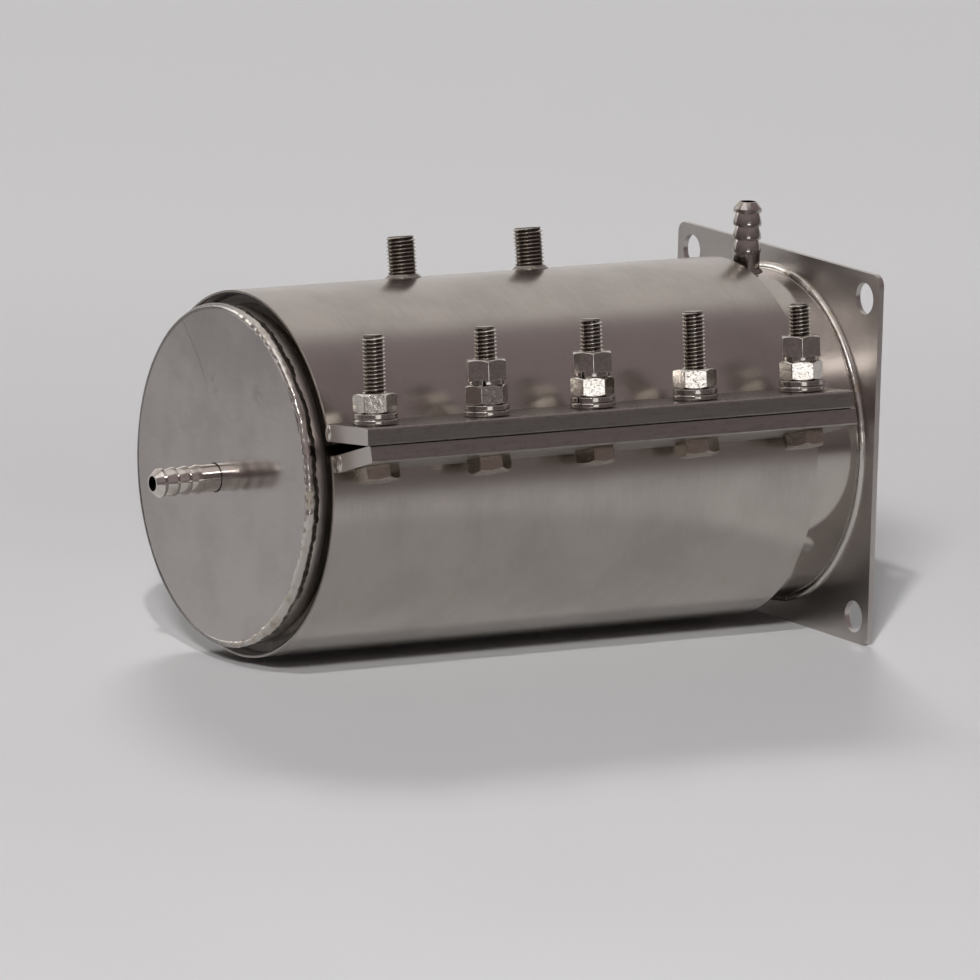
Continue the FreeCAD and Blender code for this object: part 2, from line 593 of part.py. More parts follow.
def hex_nut(label, bolt, seat, spin):
    body = stack_body(label, bolt)
    outline = new_sketch(body, "XY_Plane", lift=seat, spin=spin)
    add_hexagon(outline)
    add_circle(outline, "nut_hole_dia")
    pad(body, outline, "nut_height")
    bevel_corners(body, seat, "+")
    bevel_corners(body, seat + " + nut_height", "-")


def flat_washer(label, bolt):
    body = stack_body(label, bolt)
    outline = new_sketch(body, "XY_Plane")
    add_circle(outline, "flat_washer_dia")
    add_circle(outline, "washer_hole_dia")
    pad(body, outline, "flat_washer_thickness")


def spring_washer(label, bolt, seat, diameter, spin):
    """Square-section ring with a leaning slit."""
    body = stack_body(label, bolt)
    outline = new_sketch(body, "XY_Plane", lift=seat)
    add_circle(outline, diameter)
    add_circle(outline, "washer_hole_dia")
    pad(body, outline, "spring_washer_thickness")
    slit = new_sketch(body, "XY_Plane", lift=seat, spin=spin)
    lean = "(%s / 2) * tan(washer_split_lean)" % diameter
    add_outline(slit, [("cut_margin", "0"), (diameter, lean), (diameter, lean + " + washer_split"),
                       ("cut_margin", "washer_split")])
    cut_through(body, slit)


# Turns of each bolt's head, nut and washer slit about the bolt, and of the second nut and its
# washer slit where the bolt is a terminal. They were tightened by hand, so none agree.
STACK_TURNS = {
    1: ("-27", "30", "140", None),
    2: ("-25", "-15", "75", ("6", "-124")),
    3: ("-36", "30", "200", ("3", "-150")),
    4: ("-31", "31", "20", None),
    5: ("6", "33", "110", ("3", "60")),
}
for bolt, (head_turn, nut_turn, slit_turn, terminal) in STACK_TURNS.items():
    clamp_bolt(bolt, head_turn)
    flat_washer("flat_washer_%d" % bolt, bolt)
    spring_washer("spring_washer_%d" % bolt, bolt, "flat_washer_thickness", "spring_washer_dia", slit_turn)
    hex_nut("clamp_nut_%d" % bolt, bolt, "clamp_nut_seat", nut_turn)
    if terminal:
        terminal_nut_turn, terminal_slit_turn = terminal
        spring_washer("terminal_washer_%d" % bolt, bolt, "terminal_washer_seat",
                      "terminal_washer_dia", terminal_slit_turn)
        hex_nut("terminal_nut_%d" % bolt, bolt, "terminal_nut_seat", terminal_nut_turn)

# Inner electrode: plain tube with rings of flow holes, held off the vessel by two spacers.
electrode = new_body("inner_electrode", at=("electrode_front", "0", "0"))
section = new_sketch(electrode, "YZ_Plane")
add_circle(section, "electrode_dia")
add_circle(section, "electrode_dia - 2 * electrode_wall")
pad(electrode, section, "electrode_length")
flow_holes = new_sketch(electrode, "XY_Plane")
for row in range(FLOW_HOLE_ROWS):
    add_circle(flow_holes, "electrode_hole_dia", "electrode_hole_margin + %d * flow_hole_step" % row)
first_pair = cut_through(electrode, flow_holes)
polar_copies(electrode, first_pair, FLOW_HOLE_PAIRS, 120)


def spacer(label, front):
    """Insulating ring between electrode and vessel, notched round its rim for gas and water."""
    body = new_body(label, at=(front, "0", "0"))
    profile = new_sketch(body, "YZ_Plane")
    add_circle(profile, "tube_bore - 2 * fit_clearance")
    add_circle(profile, "electrode_dia + 2 * fit_clearance")
    pad(body, profile, "spacer_width")
    notch = new_sketch(body, "YZ_Plane")
    add_circle(notch, "spacer_notch_dia", "tube_bore / 2 + spacer_notch_centre")
    first_notch = cut_through(body, notch)
    polar_copies(body, first_notch, SPACER_NOTCHES)


spacer("front_spacer", "electrode_front + spacer_inset")
spacer("rear_spacer", "-electrode_inset - spacer_inset - spacer_width")

# End welds: where each bar's root meets the shell, at both ends of the jacket. The upper ones
# straddle the shell's edge; the lower ones lie on the bar, which stands off that edge.
HALF_ROOT = "bar_thickness / jacket_radius * 90 / pi"
UPPER_ROOT = ("slit_upper_angle + " + HALF_ROOT, "jacket_radius")
LOWER_ROOT = ("slit_lower_angle - " + HALF_ROOT, "root_radius + end_weld_width / 2")
end_welds = document.addObject("Part::Compound", "bar_end_welds")
end_welds.Label = "bar_end_welds"
end_welds.Links = [bar_end_weld(name, *root, towards, face)
                   for name, root, towards, face in (
                       ("upper_front_weld", UPPER_ROOT, -1, "jacket_front"),
                       ("upper_rear_weld", UPPER_ROOT, 1, "jacket_rear"),
                       ("lower_front_weld", LOWER_ROOT, -1, "jacket_front + lower_bar_shift"),
                       ("lower_rear_weld", LOWER_ROOT, 1, "jacket_rear + lower_bar_shift"))]
pieces.append(end_welds)

document.recompute()
for thing in document.Objects:
    if "Invalid" in thing.State or "Error" in thing.State:
        raise RuntimeError("%s did not recompute: %s" % (thing.Label, thing.State))
for piece in pieces:
    if piece.Shape.isNull() or not piece.Shape.isValid() or piece.Shape.Volume <= 0:
        raise RuntimeError("%s has no sound shape" % piece.Label)

os.makedirs("parts", exist_ok=True)
for piece in pieces:
    piece.Shape.exportStep("parts/%s.step" % piece.Label)
    print("%-22s %3d solids %10.1f mm3" % (piece.Label, len(piece.Shape.Solids), piece.Shape.Volume))
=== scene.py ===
import math

import bmesh
import bpy
from mathutils import Matrix, Quaternion, Vector, noise


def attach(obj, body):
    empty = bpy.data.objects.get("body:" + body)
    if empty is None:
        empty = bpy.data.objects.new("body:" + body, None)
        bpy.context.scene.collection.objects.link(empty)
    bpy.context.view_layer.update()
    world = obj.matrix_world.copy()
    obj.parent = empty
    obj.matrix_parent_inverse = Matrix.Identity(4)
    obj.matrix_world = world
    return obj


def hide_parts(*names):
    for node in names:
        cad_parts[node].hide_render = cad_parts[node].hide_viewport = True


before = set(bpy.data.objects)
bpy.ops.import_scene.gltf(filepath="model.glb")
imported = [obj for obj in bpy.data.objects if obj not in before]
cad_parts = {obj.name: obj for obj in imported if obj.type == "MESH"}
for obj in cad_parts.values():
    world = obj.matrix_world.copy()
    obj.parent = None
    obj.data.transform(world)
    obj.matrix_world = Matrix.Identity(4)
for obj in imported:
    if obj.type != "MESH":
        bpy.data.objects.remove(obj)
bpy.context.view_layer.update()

# Camera. The cell is seen from its front left and a little from above, through a long lens,
# with the picture's level turned by under two degrees.
VIEW_AZIMUTH = math.radians(-31.466)
VIEW_ELEVATION = math.radians(10.453)
VIEW_ROLL = math.radians(1.625)
CAMERA_PLACE = Vector((-1.5763, -2.4288, 0.5156))
towards_camera = Vector((math.sin(VIEW_AZIMUTH) * math.cos(VIEW_ELEVATION),
                         -math.cos(VIEW_AZIMUTH) * math.cos(VIEW_ELEVATION),
                         math.sin(VIEW_ELEVATION)))
camera = bpy.data.objects.new("camera", bpy.data.cameras.new("camera"))
camera.data.lens = 400.87
camera.data.sensor_width = 36
camera.data.clip_start = 0.1
camera.data.clip_end = 30
camera.rotation_mode = "QUATERNION"
camera.location = CAMERA_PLACE
camera.rotation_quaternion = (-towards_camera).to_track_quat("-Z", "Y") @ Quaternion((0, 0, 1), VIEW_ROLL)
bpy.context.scene.collection.objects.link(camera)
bpy.context.scene.camera = camera
bpy.context.scene.view_settings.view_transform = "Standard"


# Table: one pale matt top, wide behind the cell. In front and at the left it ends within arm's
# length: past that edge the steel mirrors the dim room, while the camera sees pale top all round.
TABLE_HEIGHT = -0.05
TABLE_HALF_SIZE = 6
FRONT_EDGE_FADE = (-690, -150)
LEFT_EDGE_FADE = (-650, -350)
# The far colour is painted light: the top grows lighter towards the back.
FAR_PAINTED_LIGHT_FADE = (100, 650)
NEAR_PAPER = (0.592, 0.579, 0.583, 1)
NEAR_PAPER_LIGHT = (0.612, 0.600, 0.604, 1)
FAR_PAPER_PAINTED_LIGHT = (0.695, 0.682, 0.686, 1)
PAST_THE_EDGE = (0.13, 0.11, 0.11, 1)


class Strand:
    """A value, vector or colour on its way through a material. Arithmetic adds Math nodes."""

    def __init__(self, finish, socket):
        self.finish = finish
        self.socket = socket

    def maths(self, operation, first, second=0.0):
        return self.finish.node("ShaderNodeMath", {"operation": operation}, {0: first, 1: second})

    def __add__(self, other):
        return self.maths("ADD", self, other)

    def __sub__(self, other):
        return self.maths("SUBTRACT", self, other)

    def __rsub__(self, other):
        return self.maths("SUBTRACT", other, self)

    def __mul__(self, other):
        return self.maths("MULTIPLY", self, other)

    def __pow__(self, other):
        return self.maths("POWER", self, other)

    __radd__ = __add__
    __rmul__ = __mul__

    def size(self):
        """The value without its sign."""
        return self.maths("ABSOLUTE", self)

    def radius(self, across=0, up=0):
        """How far a place lies from a line along X through this y and z."""
        return ((self.part(1) - across) ** 2 + (self.part(2) - up) ** 2) ** 0.5

    def between(self, low, high):
        """0 below low, 1 above high and a smooth step from one to the other."""
        return self.finish.node("ShaderNodeMapRange", {"interpolation_type": "SMOOTHSTEP"},
                                {"Value": self, "From Min": low, "From Max": high})

    def band(self, low, high, soft):
        """1 between low and high, fading over a soft edge on both sides."""
        return self.between(low - soft, low + soft) * (1 - self.between(high - soft, high + soft))

    def blend(self, first, second):
        """The first colour where this is 0 and the second where it is 1."""
        return self.finish.node("ShaderNodeMix", {"data_type": "RGBA"}, {0: self, 6: first, 7: second}, 2)

    def part(self, axis):
        """X, Y or Z of a place or direction, counted from 0."""
        return self.finish.node("ShaderNodeSeparateXYZ", {}, {0: self}, axis)

    def times(self, factors):
        """A place stretched by three factors, so that a pattern on it shrinks by them."""
        return self.finish.node("ShaderNodeVectorMath", {"operation": "MULTIPLY"}, {0: self, 1: factors})

    def plus(self, shift):
        return self.finish.node("ShaderNodeVectorMath", {"operation": "ADD"}, {0: self, 1: shift})


class Finish:
    """The node tree of a material or of the studio, written as expressions."""

    def __init__(self, owner):
        self.owner = owner
        owner.use_nodes = True
        self.tree = owner.node_tree
        self.tree.nodes.clear()

    def node(self, kind, settings, values, output=0):
        """Add a node: its settings first, then the values or links of its sockets."""
        node = self.tree.nodes.new(kind)
        for setting, value in settings.items():
            setattr(node, setting, value)
        for place, value in values.items():
            if isinstance(value, Strand):
                self.tree.links.new(value.socket, node.inputs[place])
            else:
                node.inputs[place].default_value = value
        return Strand(self, node.outputs[output]) if node.outputs else node

    def place(self):
        """Where a point of the piece is, in millimetres."""
        metres = self.node("ShaderNodeTexCoord", {}, {}, "Object")
        return metres.times((1000, 1000, 1000))

    def ray(self, kind):
        """1 for rays of this kind and 0 for the others."""
        return self.node("ShaderNodeLightPath", {}, {}, kind)

    def cloud(self, place, size, detail=2, roughness=0.5):
        """Soft noise with features of about this size, in the place's own units."""
        return self.node("ShaderNodeTexNoise", {}, {"Vector": place, "Scale": 1 / size, "Detail": detail,
                                                    "Roughness": roughness}, "Fac")

    def bump(self, height, depth, under=None):
        """Relief: height runs from 0 to 1 over this depth in millimetres."""
        values = {"Height": height, "Distance": depth / 1000}
        if under:
            values["Normal"] = under
        return self.node("ShaderNodeBump", {}, values)

    def surface(self, values):
        shader = self.node("ShaderNodeBsdfPrincipled", {}, values)
        self.node("ShaderNodeOutputMaterial", {}, {"Surface": shader})
        return self.owner


table_top = Finish(bpy.data.materials.new("pale_table"))
table_place = table_top.place()
paper_tone = table_top.cloud(table_place, 220).between(0.3, 0.7)
near_paper = paper_tone.blend(NEAR_PAPER, NEAR_PAPER_LIGHT)
depth = table_place.part(0) * -math.sin(VIEW_AZIMUTH) + table_place.part(1) * math.cos(VIEW_AZIMUTH)
# Painted light: the top is painted lighter towards the back.
paper = depth.between(*FAR_PAINTED_LIGHT_FADE).blend(near_paper, FAR_PAPER_PAINTED_LIGHT)
on_table = table_place.part(1).between(*FRONT_EDGE_FADE) * table_place.part(0).between(*LEFT_EDGE_FADE)
past_edge = (1 - on_table) * table_top.ray("Is Glossy Ray")
table_top.surface({"Base Color": past_edge.blend(paper, PAST_THE_EDGE), "Roughness": 0.8,
                   "Specular IOR Level": 0.15})

table_mesh = bmesh.new()
bmesh.ops.create_grid(table_mesh, x_segments=1, y_segments=1, size=TABLE_HALF_SIZE,
                      matrix=Matrix.Translation((0, 0, TABLE_HEIGHT)))
table = bpy.data.objects.new("table", bpy.data.meshes.new("table"))
table_mesh.to_mesh(table.data)
table_mesh.free()
table.data.materials.append(table_top.owner)
bpy.context.scene.collection.objects.link(table)

# Studio: the steel mirrors a pale wall behind the cell, a ceiling and a dim, brownish room that
# is darkest along its horizon. Three lamps light the table, two from in front and one from
# behind. Four more show in the steel only: a glow, a window, a skylight and a faint low lamp.
WALL_RIGHT_END = math.radians(17)
WALL_LEFT_END = math.radians(138)
RIGHT_END_FADE = (-0.12, 0.12)
LEFT_END_FADE = (-0.06, 0.12)
HORIZON_FADE = (0.04, 0.30)
CEILING_FADE = (0.90, 0.97)
WALL = (0.72, 0.69, 0.675, 1)
CEILING = (0.80, 0.78, 0.77, 1)
ROOM = (0.28, 0.235, 0.245, 1)
HORIZON = (0.15, 0.13, 0.13, 1)
FILL_LIGHT = (0.05, 0.05, 0.05, 1)
BACKDROP = (0.60, 0.588, 0.592, 1)
CELL_MIDDLE = Vector((-0.08, 0, 0))

studio = Finish(bpy.data.worlds.new("studio"))
bpy.context.scene.world = studio.owner
direction = studio.node("ShaderNodeTexCoord", {}, {}, "Generated")
east, north, rise = direction.part(0), direction.part(1), direction.part(2)
past_right_end = north * math.cos(WALL_RIGHT_END) - east * math.sin(WALL_RIGHT_END)
before_left_end = east * math.sin(WALL_LEFT_END) - north * math.cos(WALL_LEFT_END)
wall = past_right_end.between(*RIGHT_END_FADE) * before_left_end.between(*LEFT_END_FADE)
horizon = 1 - rise.size().between(*HORIZON_FADE)
room = horizon.blend(ROOM, HORIZON)
mirrored = rise.between(*CEILING_FADE).blend(wall.blend(room, WALL), CEILING)
lit_by = studio.ray("Is Glossy Ray").blend(FILL_LIGHT, mirrored)
studio_colour = studio.ray("Is Camera Ray").blend(lit_by, BACKDROP)
background = studio.node("ShaderNodeBackground", {}, {"Color": studio_colour, "Strength": 1.0})
studio.node("ShaderNodeOutputWorld", {}, {"Surface": background})


def lamp(name, azimuth, elevation, distance, width, height, radiance, on_table=True, in_steel=True):
    """A rectangular lamp that faces the cell, its width and height in degrees as seen from there.
    Azimuth is counted from +X towards +Y; the power gives its face this brightness."""
    light = bpy.data.lights.new(name, "AREA")
    light.shape = "RECTANGLE"
    light.size = 2 * distance * math.tan(math.radians(width / 2))
    light.size_y = 2 * distance * math.tan(math.radians(height / 2))
    light.energy = radiance * math.pi * light.size * light.size_y
    azimuth, elevation = math.radians(azimuth), math.radians(elevation)
    outwards = Vector((math.cos(azimuth) * math.cos(elevation), math.sin(azimuth) * math.cos(elevation),
                       math.sin(elevation)))
    lit = bpy.data.objects.new(name, light)
    lit.location = CELL_MIDDLE + outwards * distance
    lit.rotation_mode = "QUATERNION"
    lit.rotation_quaternion = (-outwards).to_track_quat("-Z", "Y")
    lit.visible_diffuse = on_table
    lit.visible_glossy = in_steel
    bpy.context.scene.collection.objects.link(lit)


lamp("front_lamp", azimuth=-127.5, elevation=30, distance=12, width=8, height=6, radiance=141, in_steel=False)
lamp("back_lamp", azimuth=62, elevation=35, distance=8, width=14, height=8, radiance=46, in_steel=False)
lamp("key_lamp", azimuth=-126.6, elevation=44, distance=2.2, width=2, height=2, radiance=1030, in_steel=False)
lamp("key_glow", azimuth=-135, elevation=45, distance=2.2, width=6, height=6, radiance=22, on_table=False)
lamp("window", azimuth=121, elevation=21, distance=4, width=20, height=26, radiance=1.5, on_table=False)
lamp("skylight", azimuth=-172, elevation=58, distance=4, width=44, height=30, radiance=1.04, on_table=False)
lamp("faint_lamp", azimuth=-107, elevation=3.5, distance=4, width=24, height=5, radiance=2.6, on_table=False)


# Sheet and tube of the vessel: cold-rolled stainless steel with a smooth mill gloss, handled and
# wiped, so that its gloss and tone drift in broad clouds with only a faint grain.
TUBE_STEEL = (0.49, 0.455, 0.42, 1)
DISC_STEEL = (0.45, 0.418, 0.404, 1)
PLATE_STEEL = (0.52, 0.484, 0.462, 1)
# Painted light for the tube in front of the jacket's edge, where the gap lies in shade.
PAINTED_LIGHT_STEEL = (0.78, 0.71, 0.66, 1)
CUT_STEEL = (0.42, 0.39, 0.36, 1)
# Painted shade on the inner part of the jacket's cut face, beside the gap.
CUT_FACE_PAINTED_SHADE = (0.05, 0.045, 0.04, 1)
SEAM = (0.015, 0.013, 0.012, 1)
STAIN = (0.16, 0.13, 0.10, 1)
LENGTHWISE_GRAIN = (0.25, 2.0, 2.0)
UPRIGHT_GRAIN = (1, 0.3, 1.6)
ROUND_GRAIN = (1.5, 0.12, 0.12)
JACKET_FRONT = -166.5
JACKET_RADIUS = 48.25
CUT_FACE_SHADE_FADE = (JACKET_RADIUS - 0.7, JACKET_RADIUS - 0.4)
SOCKET_SIDE = 3
SOCKET_HEIGHT = -1
SOCKET_RADIUS = 3.65
SEAM_HALF_WIDTH = 0.3
DISC_STAINS = ((-18.4, 24.7, 4), (6, 23.6, 5), (-4, 31, 4))
SCRATCH_NORMAL = (0.747, -0.664)
SCRATCH_OFFSET = 8.2
SCRATCH_HEIGHTS = (24, 39)


def handling_marks(finish, place, smear):
    """Stains at their y, z and size, and one fine scratch along a wandering line."""
    stains = sum(1 - (place.radius(across, up) + smear * size).between(0, size * 1.6)
                 for across, up, size in DISC_STAINS)
    stains = stains * finish.cloud(place, 3, 3, 0.6).between(0.38, 0.6)
    across, up = SCRATCH_NORMAL
    off_line = (place.part(1) * across + place.part(2) * up + SCRATCH_OFFSET + smear * 1.5).size()
    scratch = (1 - off_line.between(0.1, 0.35)) * place.part(2).band(*SCRATCH_HEIGHTS, 1.5)
    return stains * 0.5 + scratch * 0.4


def rolled_steel(name, grain, gloss, bright, edge=None, socket=None, painted_light_before=None):
    """Rolled steel whose grain runs where its three stretch factors are small. An edge is the
    x behind which the sheet begins: in front of it lies its cut face, painted dark on its inner part
    as painted shade. A socket is the y, z and radius of a fitting let into it, which leaves a dark
    seam. In front of the x given last, the steel is painted lighter and duller: painted light."""
    finish = Finish(bpy.data.materials.new(name))
    place = finish.place()
    smear = finish.cloud(place, 24, 4, 0.6).between(0.35, 0.72)
    streak = finish.cloud(place.times(grain), 1.0, 3, 0.6)
    dull = tuple(channel * 0.86 for channel in bright[:3]) + (1,)
    colour = (smear * 0.5 + streak * 0.5).between(0.15, 0.85).blend(bright, dull)
    rough = gloss + smear * 0.035 + (streak - 0.5) * 0.03
    # Painted light: in front of that x the steel is painted lighter and duller, against the shade in the gap.
    if painted_light_before:
        scale = 1 - place.part(0).between(painted_light_before - 1, painted_light_before + 2)
        colour = scale.blend(colour, PAINTED_LIGHT_STEEL)
        rough = rough + scale * 0.22
    if edge:
        cut_face = 1 - place.part(0).between(edge - 0.05, edge + 0.05)
        # Painted shade: the cut face is painted dark on its inner part, beside the gap.
        colour = cut_face.blend(colour, place.radius().between(*CUT_FACE_SHADE_FADE).blend(CUT_FACE_PAINTED_SHADE, CUT_STEEL))
        rough = rough + cut_face * 0.15
    if socket:
        across, up, radius = socket
        seam = place.radius(across, up).band(radius - SEAM_HALF_WIDTH, radius + SEAM_HALF_WIDTH, 0.08)
        colour = seam.blend(handling_marks(finish, place, smear).blend(colour, STAIN), SEAM)
    relief = finish.bump(streak, 0.0012)
    dents = finish.bump(finish.cloud(place, 19, 1), 0.03, relief)
    return finish.surface({"Base Color": colour, "Metallic": 1.0, "Roughness": rough, "Normal": dents})


def dress(node, material):
    """Give a solid of the part its finish."""
    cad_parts[node].material_slots[0].material = material


# The tube is painted lighter in front of the jacket's edge: painted light.
dress("vessel_tube", rolled_steel("tube_steel", LENGTHWISE_GRAIN, 0.115, TUBE_STEEL, painted_light_before=JACKET_FRONT))
dress("front_end_disc", rolled_steel("disc_steel", UPRIGHT_GRAIN, 0.14, DISC_STEEL,
                                     socket=(SOCKET_SIDE, SOCKET_HEIGHT, SOCKET_RADIUS)))
dress("square_flange", rolled_steel("plate_steel", UPRIGHT_GRAIN, 0.31, PLATE_STEEL))
dress("jacket_shell", rolled_steel("jacket_steel", ROUND_GRAIN, 0.235, TUBE_STEEL, edge=JACKET_FRONT + 0.1))

# Liner: a sleeve of dark rubber, rolled round the vessel and held by the jacket, which it keeps
# insulated from the vessel. Only its dusty ends show, painted black close under the sheet: painted shade.
RUBBER = (0.22, 0.20, 0.185, 1)
DUSTY_RUBBER = (0.30, 0.276, 0.255, 1)
RUBBER_PAINTED_SHADE = (0.012, 0.011, 0.01, 1)
PAINTED_SHADE_UNDER_SHEET_FADE = (JACKET_RADIUS - 1.65, JACKET_RADIUS - 1.35)
rubber = Finish(bpy.data.materials.new("liner_rubber"))
rubber_place = rubber.place()
dust = rubber.cloud(rubber_place, 3, 3).between(0.45, 0.75)
# Painted shade: black close under the jacket's sheet.
painted_shade_under_sheet = rubber_place.radius().between(*PAINTED_SHADE_UNDER_SHEET_FADE)
rubber_tone = painted_shade_under_sheet.blend(dust.blend(RUBBER, DUSTY_RUBBER), RUBBER_PAINTED_SHADE)
dress("jacket_liner", rubber.surface({"Base Color": rubber_tone, "Roughness": 0.45 + dust * 0.2,
                                      "Normal": rubber.bump(rubber.cloud(rubber_place, 0.6), 0.03)}))

# Clamp bars: sheared flat bar, duller than the sheet and welded to the jacket's edges. The shear
# has left each outer face in two bands, lighter above a ragged line, and streaked along the bar.
SHEAR_LINE = 22.2
BAR_STEEL = (0.47, 0.44, 0.415, 1)
SHEARED_STEEL = (0.27, 0.25, 0.235, 1)
SAWN_STEEL = (0.60, 0.565, 0.53, 1)
bar_steel = Finish(bpy.data.materials.new("bar_steel"))
bar_place = bar_steel.place()
shear = bar_steel.cloud(bar_place.times((0.06, 1.6, 3.2)), 1.0, 4, 0.65)
nicks = bar_steel.cloud(bar_place.times((0.35, 1, 1)), 1.1, 3, 0.7).between(0.52, 0.66)
ragged = bar_steel.cloud(bar_place.times((0.5, 0.5, 0.5)), 1.0, 4, 0.7)
lower_band = 1 - (bar_place.part(2) + (ragged - 0.5) * 1.6).between(SHEAR_LINE - 0.3, SHEAR_LINE + 0.3)
bar_tone = (shear * 0.5 + nicks * 0.25 + lower_band * 0.5).between(0.15, 1.0)
bar_relief = bar_steel.bump(shear, 0.012, bar_steel.bump(nicks, 0.006))
sawn_end = bar_steel.node("ShaderNodeNewGeometry", {}, {}, "True Normal").part(0).size().between(0.8, 0.95)
bar_colour = sawn_end.blend(bar_tone.blend(BAR_STEEL, SHEARED_STEEL), SAWN_STEEL)
bar_finish = bar_steel.surface({"Base Color": bar_colour, "Metallic": 1.0,
                                "Roughness": 0.24 + bar_tone * 0.1, "Normal": bar_relief})
dress("upper_clamp_bar", bar_finish)
dress("lower_clamp_bar", bar_finish)

# Electrode and spacers inside the vessel: a perforated stainless tube, and two rings of pale
# plastic that hold it off the vessel's wall.
SPACER_PLASTIC = (0.80, 0.79, 0.75, 1)
YELLOWED_PLASTIC = (0.70, 0.69, 0.64, 1)
dress("inner_electrode", rolled_steel("electrode_steel", LENGTHWISE_GRAIN, 0.25, TUBE_STEEL))
plastic = Finish(bpy.data.materials.new("spacer_plastic"))
plastic_place = plastic.place()
plastic_cloud = plastic.cloud(plastic_place, 6, 2)
spacer_finish = plastic.surface({"Base Color": plastic_cloud.blend(SPACER_PLASTIC, YELLOWED_PLASTIC),
                                 "Roughness": 0.42 + plastic_cloud * 0.15,
                                 "Normal": plastic.bump(plastic.cloud(plastic_place, 0.8), 0.01)})
dress("front_spacer", spacer_finish)
dress("rear_spacer", spacer_finish)


# Hose barbs: turned from stainless bar, with a plain foot, four saw-tooth ridges whose crests
# are slightly rounded, and a tapered mouth. The tool has left fine rings on them.
BARB_BORE = 4
BARB_FOOT = 2 * SOCKET_RADIUS
BARB_FOOT_LENGTH = 5.1
BARB_CREST = 7.7
BARB_ROOT = 6.2
BARB_LAND = 0.9
BARB_NOSE = 5
BARB_PITCH = 3.65
BARB_NOSE_LENGTH = 2.7
BARB_RIDGES = 4
BARB_SUNK = 2
FRONT_BARB_TURN = math.radians(-91)
NECK_BARB_X = -11.5
TUBE_RADIUS = 44.5
DISC_PROUD = 6
DISC_FACE = JACKET_FRONT - DISC_PROUD
FRONT_BARB_STEEL = (0.66, 0.62, 0.575, 1)
FRONT_BARB_STAIN = (0.50, 0.465, 0.42, 1)
# The neck barb's colours are a darker copy of the front barb's: painted shade.
NECK_BARB_SHADED_STEEL = (0.48, 0.445, 0.41, 1)
NECK_BARB_SHADED_STAIN = (0.36, 0.33, 0.30, 1)


def turned_steel(name, rings, bright, dull):
    """Bright turned steel. The rings are the stretch factors of the tool's marks."""
    finish = Finish(bpy.data.materials.new(name))
    place = finish.place()
    marks = finish.cloud(place.times(rings), 1.0, 2)
    stain = finish.cloud(place, 2.5, 3).between(0.4, 0.75)
    relief = finish.bump(marks, 0.003)
    return finish.surface({"Base Color": stain.blend(bright, dull),
                           "Metallic": 1.0, "Roughness": 0.11 + stain * 0.08, "Normal": relief})


def turned(outline, steps=96, angle=360):
    """Spin a closed half section of (radius, height) corners about Z."""
    mesh = bmesh.new()
    corners = [mesh.verts.new((radius, 0, height)) for radius, height in outline]
    edges = [mesh.edges.new(pair) for pair in zip(corners, corners[1:] + corners[:1])]
    bmesh.ops.spin(mesh, geom=corners + edges, axis=(0, 0, 1), cent=(0, 0, 0), dvec=(0, 0, 0),
                   angle=math.radians(angle), steps=steps, use_merge=angle == 360)
    bmesh.ops.holes_fill(mesh, edges=[edge for edge in mesh.edges if edge.is_boundary], sides=0)
    return mesh


def fit(name, mesh, material, stands_for, place, edge=0.0, crease=24):
    """Make a mesh in millimetres a piece of the cell, in place of the solid that it details.
    Edges that turn by more than the crease stay sharp, or are rounded by the edge width."""
    bmesh.ops.transform(mesh, matrix=place, verts=mesh.verts)
    bmesh.ops.remove_doubles(mesh, verts=mesh.verts, dist=0.0005)
    bmesh.ops.recalc_face_normals(mesh, faces=mesh.faces)
    bmesh.ops.scale(mesh, vec=(0.001, 0.001, 0.001), verts=mesh.verts)
    piece = bpy.data.objects.new(name, bpy.data.meshes.new(name))
    mesh.to_mesh(piece.data)
    mesh.free()
    piece.data.shade_smooth()
    piece.data.set_sharp_from_angle(angle=math.radians(crease))
    piece.data.materials.append(material)
    bpy.context.scene.collection.objects.link(piece)
    if edge:
        rounding = piece.modifiers.new("rounded_edges", "BEVEL")
        rounding.width = edge / 1000
        rounding.segments = 3
        rounding.limit_method = "ANGLE"
        rounding.angle_limit = math.radians(crease)
        rounding.harden_normals = True
    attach(piece, "root")
    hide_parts(stands_for)


def hose_barb():
    """A barb that stands on Z = 0, its foot let into the wall below. The last tenths of a
    millimetre at each corner are the roundings of its crests, roots and mouth."""
    outline = [(BARB_BORE / 2, -BARB_SUNK), (BARB_FOOT / 2, -BARB_SUNK),
               (BARB_FOOT / 2, BARB_FOOT_LENGTH - 0.1)]
    for ridge in range(BARB_RIDGES):
        height = BARB_FOOT_LENGTH + ridge * BARB_PITCH
        if ridge:
            outline += [(BARB_ROOT / 2 + 0.04, height - 0.22), (BARB_ROOT / 2, height - 0.08)]
        outline += [(BARB_CREST / 2 - 0.12, height - 0.03), (BARB_CREST / 2, height + 0.12),
                    (BARB_CREST / 2, height + BARB_LAND)]
    top = BARB_FOOT_LENGTH + (BARB_RIDGES - 1) * BARB_PITCH + BARB_NOSE_LENGTH
    return turned(outline + [(BARB_NOSE / 2 + 0.1, top - 0.2), (BARB_NOSE / 2 - 0.1, top),
                             (BARB_BORE / 2, top)])


front_barb_finish = turned_steel("front_barb_steel", (6, 0.5, 0.5), FRONT_BARB_STEEL, FRONT_BARB_STAIN)
front_barb_place = (Matrix.Translation((DISC_FACE, SOCKET_SIDE, SOCKET_HEIGHT))
                    @ Matrix.Rotation(FRONT_BARB_TURN, 4, "Y"))
fit("hose_barb_front", hose_barb(), front_barb_finish, "front_hose_barb",
    place=front_barb_place)
# Painted shade: the neck barb is given darker colours than the front barb.
neck_barb_finish = turned_steel("neck_barb_shaded_steel", (0.5, 0.5, 6), NECK_BARB_SHADED_STEEL, NECK_BARB_SHADED_STAIN)
neck_barb_place = Matrix.Translation((NECK_BARB_X, 0, TUBE_RADIUS))
fit("hose_barb_neck", hose_barb(), neck_barb_finish, "neck_hose_barb",
    place=neck_barb_place)


